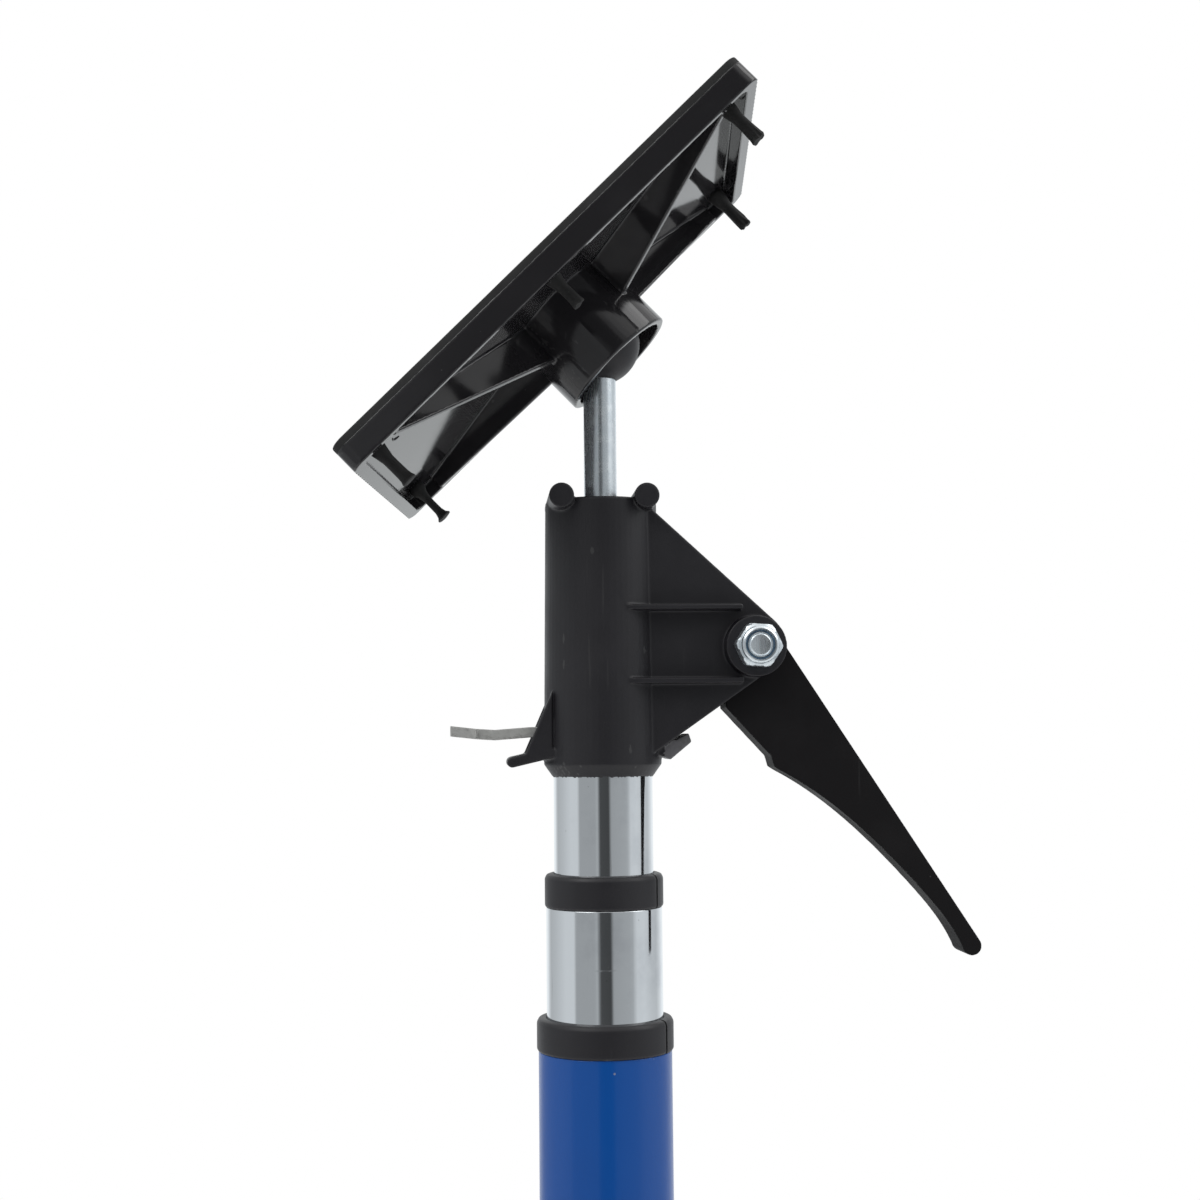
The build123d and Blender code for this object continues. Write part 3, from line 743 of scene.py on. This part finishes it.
def add_end(which, place):
    """The plate, pad, cup and ball of the head or the foot."""
    plate = moulded(copy_of(f"{which}-plate", f"{which}_plate"), 0.26 * MM, 2, 0.30)
    fit(plate, f"{which}_plate")

    sheet = pad_sheet(f"{which}-pad", PAD_HALF_LENGTH, PAD_HALF_WIDTH,
                      PAD_THICKNESS / MM + PAD_OVERLAP, PAD_CORNER)
    for (sx, sy), style in NIPPLES.items():
        join(sheet, nipple("nipple", NIPPLE_X * sx + PLATE_SHIFT, NIPPLE_Y * sy, style))
    sheet.data.transform(place)
    smooth(sheet, 38.0)
    fit(sheet, f"{which}_pad")

    cup = moulded(copy_of(f"{which}-cup", f"{which}_socket"), 0.22 * MM, 2, 0.35)
    fit(cup, f"{which}_socket")

    for number, (a, b) in enumerate(TRAY_MARKS):
        add_tray_mark(f"{which}-tray-mark-{number + 1}", a, b, place, f"{which}_plate")


def add_tray_mark(name, a, b, place, node):
    """A small curved ridge that the mould's ejector left on the tray's floor."""
    a, b = Vector((*a, 0)), Vector((*b, 0))
    across = (b - a).cross(Vector((0, 0, 1))).normalized()
    floor = PLATE_FLOOR / MM
    steps, section = 14, 8
    vertices = []
    for i in range(steps + 1):
        t = i / steps
        centre = a.lerp(b, t) + across * 0.9 * math.sin(math.pi * t)
        size = 0.28 * math.sin(math.pi * (0.12 + 0.76 * t))
        for k in range(section):
            angle = 2 * math.pi * k / section
            p = centre + across * size * math.cos(angle)
            vertices.append((p.x, p.y, floor + 0.05 + size * math.sin(angle)))
    ridge = mesh_object(name, [Vector(v) * MM for v in vertices], skin(steps + 1, section))
    tidy_mesh(ridge)
    ridge.data.transform(place)
    smooth(ridge, 50.0)
    fit(ridge, node, hides=False)


def add_ball(node, centre, upwards):
    """A ball with a bored neck for the bar that carries it."""
    radius, bore, depth = BALL_RADIUS, BAR_RADIUS + 0.02 * MM, 5.1 * MM
    profile = [(0.0, -radius)]
    for k in range(1, 48):
        angle = -math.pi / 2 + math.pi * k / 48
        r, h = radius * math.cos(angle), radius * math.sin(angle)
        if h > 0 and r < bore + 0.25 * MM:
            break
        profile.append((r, h))
    rim = math.sqrt(radius ** 2 - bore ** 2)
    profile += [(bore + 0.2 * MM, rim - 0.02 * MM), (bore, rim - 0.25 * MM),
                (bore, -depth), (0.0, -depth)]
    turn = Matrix.Identity(4) if upwards else Matrix.Rotation(math.pi, 4, "X")
    ball = lathe(piece_name(node), profile, 96, Matrix.Translation(centre) @ turn)
    smooth(ball, 40.0)
    fit(ball, node)


# ---- pump housing and lever --------------------------------------------------------------------
EAR_EDGE_SLOPE = 0.695                      # of the ears' lower edge, upwards to the right


def add_housing():
    """The moulded housing with its ears, bosses, ribs and finger rest."""
    housing = moulded(copy_of("pump-housing", "pump_housing"), 0.26 * MM, 3, 0.35)
    fit(housing, "pump_housing")
    # a second material holds the painted reflection on the stop block's faces
    housing.data.materials.append(painted_reflection_stop_block())
    for face in housing.data.polygons:
        # painted reflection: faces on the block below the ears get the grey material
        if on_stop_block(face.center):
            face.material_index = 1


def on_stop_block(place):
    """Whether a place is on the block below the ears, which stops the lever."""
    ear_edge = HOUSING_Z + 5.5 * MM + EAR_EDGE_SLOPE * (place.x - 12.2 * MM)
    return (14.4 * MM < place.x < 22.0 * MM and abs(place.y) < 6.6 * MM
            and HOUSING_Z + 3.0 * MM < place.z < ear_edge - 0.35 * MM)


def add_lever():
    """The squeeze lever."""
    lever = fit(moulded(copy_of("pump-lever", "pump_lever"), 0.26 * MM, 4, 0.35), "pump_lever")
    lever.data.materials[0] = lever_plastic()


# ---- pivot bolt and lock nut -------------------------------------------------------------------
def polar_solid(name, levels, segments, place):
    """A closed solid from rings; each level is (height, function of angle giving the radius)."""
    vertices = []
    for height, radius in levels:
        for i in range(segments):
            angle = 2 * math.pi * i / segments
            r = radius(angle)
            vertices.append((r * math.cos(angle), r * math.sin(angle), height))
    thing = mesh_object(name, vertices, skin(len(levels), segments))
    tidy_mesh(thing)
    thing.data.transform(place)
    return thing


def hexagon(limit):
    """Radius of the nut's hexagon at an angle, cut off by a circle for its chamfers."""
    def radius(angle):
        sector = (angle + math.pi / 6) % (math.pi / 3) - math.pi / 6
        return min(NUT_FLATS / 2 / math.cos(sector), limit)
    return radius


def circle(radius):
    """The same radius at every angle."""
    return lambda angle: radius


def add_pivot():
    """M6 bolt and nylon-insert nut; the nut faces the front."""
    turn = Matrix.Rotation(math.radians(NUT_TURN), 4, "Z")
    front = Matrix.Translation(PIVOT) @ Matrix.Rotation(math.radians(90.0), 4, "X")
    nut = polar_solid("lever-nut", [
        (BOSS, hexagon(5.1 * MM)), (BOSS + 0.35 * MM, hexagon(5.45 * MM)),
        (BOSS + 0.7 * MM, hexagon(NUT_CORNER)), (BOSS + 3.9 * MM, hexagon(NUT_CORNER)),
        (BOSS + 4.3 * MM, hexagon(5.35 * MM)), (BOSS + 4.6 * MM, hexagon(4.95 * MM)),
        (BOSS + 4.75 * MM, circle(4.55 * MM)), (BOSS + 5.3 * MM, circle(4.5 * MM)),
        (BOSS + 5.75 * MM, circle(4.3 * MM)), (BOSS + 6.0 * MM, circle(3.9 * MM)),
        (BOSS + 5.95 * MM, circle(3.6 * MM)), (BOSS + 5.6 * MM, circle(3.45 * MM)),
        (BOSS + 4.2 * MM, circle(3.4 * MM)), (BOSS + 4.2 * MM, circle(3.05 * MM)),
        (BOSS + 3.0 * MM, circle(3.04 * MM))], 144, front @ turn)
    smooth(nut, 30.0)
    fit(nut, "lever_nut")
    outline = [(3.0 * MM, BOSS + 4.25 * MM), (3.42 * MM, BOSS + 4.25 * MM),
               (3.42 * MM, BOSS + 5.45 * MM), (3.0 * MM, BOSS + 5.35 * MM)]
    ring = lathe("nylon-ring", rounded(outline, 0.12 * MM, 3), 96, front)
    smooth(ring, 40.0)
    fit(ring, "lever_nut_insert")

    end = BOSS + 6.1 * MM
    crest, root, pitch = 2.95 * MM, 2.62 * MM, 1.0 * MM
    height = BOSS + 2.6 * MM
    profile = [(0.0, -BOSS - 1.0 * MM), (crest, -BOSS - 1.0 * MM), (crest, height)]
    while height < end - 1.2 * MM:
        profile += [(root, height + 0.45 * pitch), (crest, height + pitch)]
        height += pitch
    profile += [(2.8 * MM, end - 0.55 * MM), (2.55 * MM, end - 0.12 * MM), (2.35 * MM, end),
                (1.2 * MM, end - 0.12 * MM), (0.0, end - 0.16 * MM)]
    shank = lathe("bolt-shank", profile, 96, front)
    back = (Matrix.Translation(PIVOT) @ Matrix.Rotation(math.radians(-90.0), 4, "X")
            @ Matrix.Rotation(math.radians(BOLT_HEAD_TURN), 4, "Z"))
    head = polar_solid("lever-bolt", [
        (BOSS, circle(4.7 * MM)), (BOSS + 0.25 * MM, hexagon(NUT_CORNER)),
        (BOSS + 3.3 * MM, hexagon(NUT_CORNER)), (BOSS + 3.7 * MM, hexagon(5.3 * MM)),
        (BOSS + 4.0 * MM, hexagon(4.9 * MM)), (BOSS + 4.0 * MM, circle(4.0 * MM)),
        (BOSS + 3.75 * MM, circle(3.7 * MM)), (BOSS + 3.75 * MM, circle(0.5 * MM))], 144, back)
    join(head, shank)
    smooth(head, 30.0)
    fit(head, "lever_bolt")


# ---- rod, stub, plates and springs -------------------------------------------------------------
def add_bar(node, groove_low):
    """An 8 mm bar with chamfered ends and a retaining groove."""
    low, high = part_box(node)
    r, groove_high = BAR_RADIUS, groove_low + GROOVE_WIDTH
    outline = [(0.0, low.z), (r - 0.8 * MM, low.z), (r - 0.25 * MM, low.z + 0.45 * MM),
               (r, low.z + 0.9 * MM), (r, groove_low), (GROOVE_RADIUS, groove_low),
               (GROOVE_RADIUS, groove_high), (r, groove_high), (r, high.z - 0.6 * MM),
               (r - 0.25 * MM, high.z - 0.25 * MM), (r - 0.6 * MM, high.z), (0.0, high.z)]
    bar = lathe(piece_name(node), outline, 96)
    smooth(bar, 30.0)
    fit(bar, node)


def helix(name, radius, wire, bottom, top, turns):
    """A compression spring with flattened, closed end turns."""
    steps, section = int(40 * turns), 12
    vertices = []
    low, high = bottom + wire / 2, top - wire / 2
    for i in range(steps + 1):
        t = i / steps
        eased = min(1.0, max(0.0, (t - 0.06) / 0.88))
        angle = 2 * math.pi * turns * t
        centre = Vector((radius * math.cos(angle), radius * math.sin(angle),
                         low + (high - low) * eased))
        out = Vector((math.cos(angle), math.sin(angle), 0))
        for k in range(section):
            a = 2 * math.pi * k / section
            up = Vector((0, 0, wire / 2 * math.sin(a)))
            vertices.append(centre + out * wire / 2 * math.cos(a) + up)
    thing = mesh_object(name, vertices, skin(steps + 1, section))
    tidy_mesh(thing)
    smooth(thing, 45.0)
    return thing


def add_springs():
    """The drive and brake springs, each a helix with a mesh of its own."""
    for node, radius, wire, turns, joint, travel in (
            ("drive_spring", 6.8, 1.2, 7.0, "drive_lift", DRIVE_TRAVEL),
            ("brake_spring", 6.0, 0.9, 2.5, "brake_release", BRAKE_TRAVEL)):
        low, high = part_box(node)
        spring = helix(piece_name(node), radius * MM, wire * MM, low.z, high.z, turns)
        fit(spring, node)
        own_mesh(spring)


def add_plates():
    """The brake plate with its bent release tab, and the drive plate."""
    fit(moulded(copy_of("brake-plate", "brake_plate"), 0.2 * MM, 3, 0.4), "brake_plate")
    fit(moulded(copy_of("drive-plate", "drive_plate"), 0.22 * MM, 2, 0.3), "drive_plate")


def dress_carried_nodes():
    """Procedural finishes on the CAD nodes that stay as they are."""
    for node, thing in frame["nodes"].items():
        if thing.hide_render:
            continue
        if not thing.data.materials:
            thing.data.materials.append(None)
        for place in thing.material_slots:
            place.material = MATERIALS[SLOT_OF[node]]


# ---- studio ------------------------------------------------------------------------------------
FLOOR_SIZE = 3.6
# what stands round the object, as (degrees from the front, brightness 0 to 255): a tent of white
# and grey walls with a narrow dark gap at the front
WALLS = [(-180, 255), (-150, 246), (-132, 186), (-110, 196), (-82, 214), (-62, 214), (-57, 166),
         (-20, 166), (-14, 178), (-8, 76), (12, 70), (18, 164), (50, 172), (57, 178), (66, 214),
         (84, 218), (104, 206), (122, 200), (136, 226), (150, 250), (180, 255)]


def add_floor():
    """A plain pale floor under the foot."""
    half = FLOOR_SIZE / 2
    corners = [(-half, -half, 0), (half, -half, 0), (half, half, 0), (-half, half, 0)]
    floor = mesh_object("floor", corners, [(0, 1, 2, 3)])
    f = Finish("pale_floor", grey(236), 0.7)
    f.paint(f.band(f.noise(3.0, 3.0), 0.4, 0.7), grey(232), 0.5)
    floor.data.materials.append(f.done())


def add_softbox(name, place, target, size, power):
    """A rectangular studio light aimed at a point."""
    data = bpy.data.lights.new(name, "AREA")
    data.shape = "RECTANGLE"
    data.size = size[0]
    data.size_y = size[1]
    data.energy = power
    light = bpy.data.objects.new(name, data)
    bpy.context.scene.collection.objects.link(light)
    direction = Vector(target) - Vector(place)
    light.matrix_world = (Matrix.Translation(Vector(place))
                          @ direction.to_track_quat("-Z", "Y").to_matrix().to_4x4())


def add_world():
    """A light tent: banded walls all round, a white roof, and plain white behind the object."""
    world = bpy.data.worlds.new("studio")
    bpy.context.scene.world = world
    world.use_nodes = True
    tree = world.node_tree
    new, link = tree.nodes.new, tree.links.new
    background = tree.nodes["Background"]
    place = new("ShaderNodeTexCoord")
    split = new("ShaderNodeSeparateXYZ")
    link(place.outputs["Generated"], split.inputs[0])
    front = math.atan2(CAMERA_PLACE[0], -CAMERA_PLACE[1])
    back = new("ShaderNodeMath")
    back.operation = "MULTIPLY"
    back.inputs[1].default_value = -1.0
    link(split.outputs["Y"], back.inputs[0])
    angle = new("ShaderNodeMath")
    angle.operation = "ARCTAN2"
    link(split.outputs["X"], angle.inputs[0])
    link(back.outputs[0], angle.inputs[1])
    turned = new("ShaderNodeMapRange")
    turned.clamp = False
    turned.inputs["From Min"].default_value = -math.pi + front
    turned.inputs["From Max"].default_value = math.pi + front
    link(angle.outputs[0], turned.inputs["Value"])
    wrapped = new("ShaderNodeMath")
    wrapped.operation = "FRACT"
    link(turned.outputs[0], wrapped.inputs[0])
    ramp = new("ShaderNodeValToRGB")
    link(wrapped.outputs[0], ramp.inputs["Fac"])
    stops = ramp.color_ramp.elements
    while len(stops) < len(WALLS):
        stops.new(0.5)
    for stop, (degrees, level) in zip(stops, WALLS):
        stop.position = (degrees + 180) / 360
        stop.color = grey((level * 0.985, level, min(255, level * 1.012)))
    roof = new("ShaderNodeMapRange")
    roof.interpolation_type = "SMOOTHSTEP"
    roof.inputs["From Min"].default_value = 0.35
    roof.inputs["From Max"].default_value = 0.75
    link(split.outputs["Z"], roof.inputs["Value"])
    mix = new("ShaderNodeMix")
    mix.data_type = "RGBA"
    link(roof.outputs[0], mix.inputs[0])
    link(ramp.outputs["Color"], mix.inputs[6])
    mix.inputs[7].default_value = (1.0, 1.0, 1.0, 1.0)
    seen = new("ShaderNodeLightPath")
    plain = new("ShaderNodeMix")
    plain.data_type = "RGBA"
    link(seen.outputs["Is Camera Ray"], plain.inputs[0])
    link(mix.outputs[2], plain.inputs[6])
    plain.inputs[7].default_value = (1.0, 1.0, 1.0, 1.0)
    link(plain.outputs[2], background.inputs["Color"])
    background.inputs["Strength"].default_value = 1.0
    bpy.context.scene.view_settings.view_transform = "Standard"


add_tubes()
add_bush("outer_tube_bush", "outer_tube", 7.9 * MM)
add_bush("middle_tube_bush", "middle_tube", 8.1 * MM)
add_end("head", HEAD_PLACE)
add_end("base", FOOT_PLACE)
add_ball("head_ball", BALL, False)
add_ball("base_ball", FOOT_BALL, True)
add_housing()
add_lever()
add_pivot()
add_bar("push_rod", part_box("rod_stop_clip")[0].z - 0.05 * MM)
add_bar("base_stub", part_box("base_stub_clip")[0].z - 0.05 * MM)
add_plates()
add_springs()
dress_carried_nodes()

add_camera()
add_floor()
add_softbox("top_left", (-1.2, -1.0, 2.6), (0.0, 0.0, 1.0), (1.2, 1.2), 12.0)
add_softbox("top_right", (1.4, -0.4, 2.3), (0.0, 0.0, 0.9), (1.0, 1.4), 8.0)
add_world()
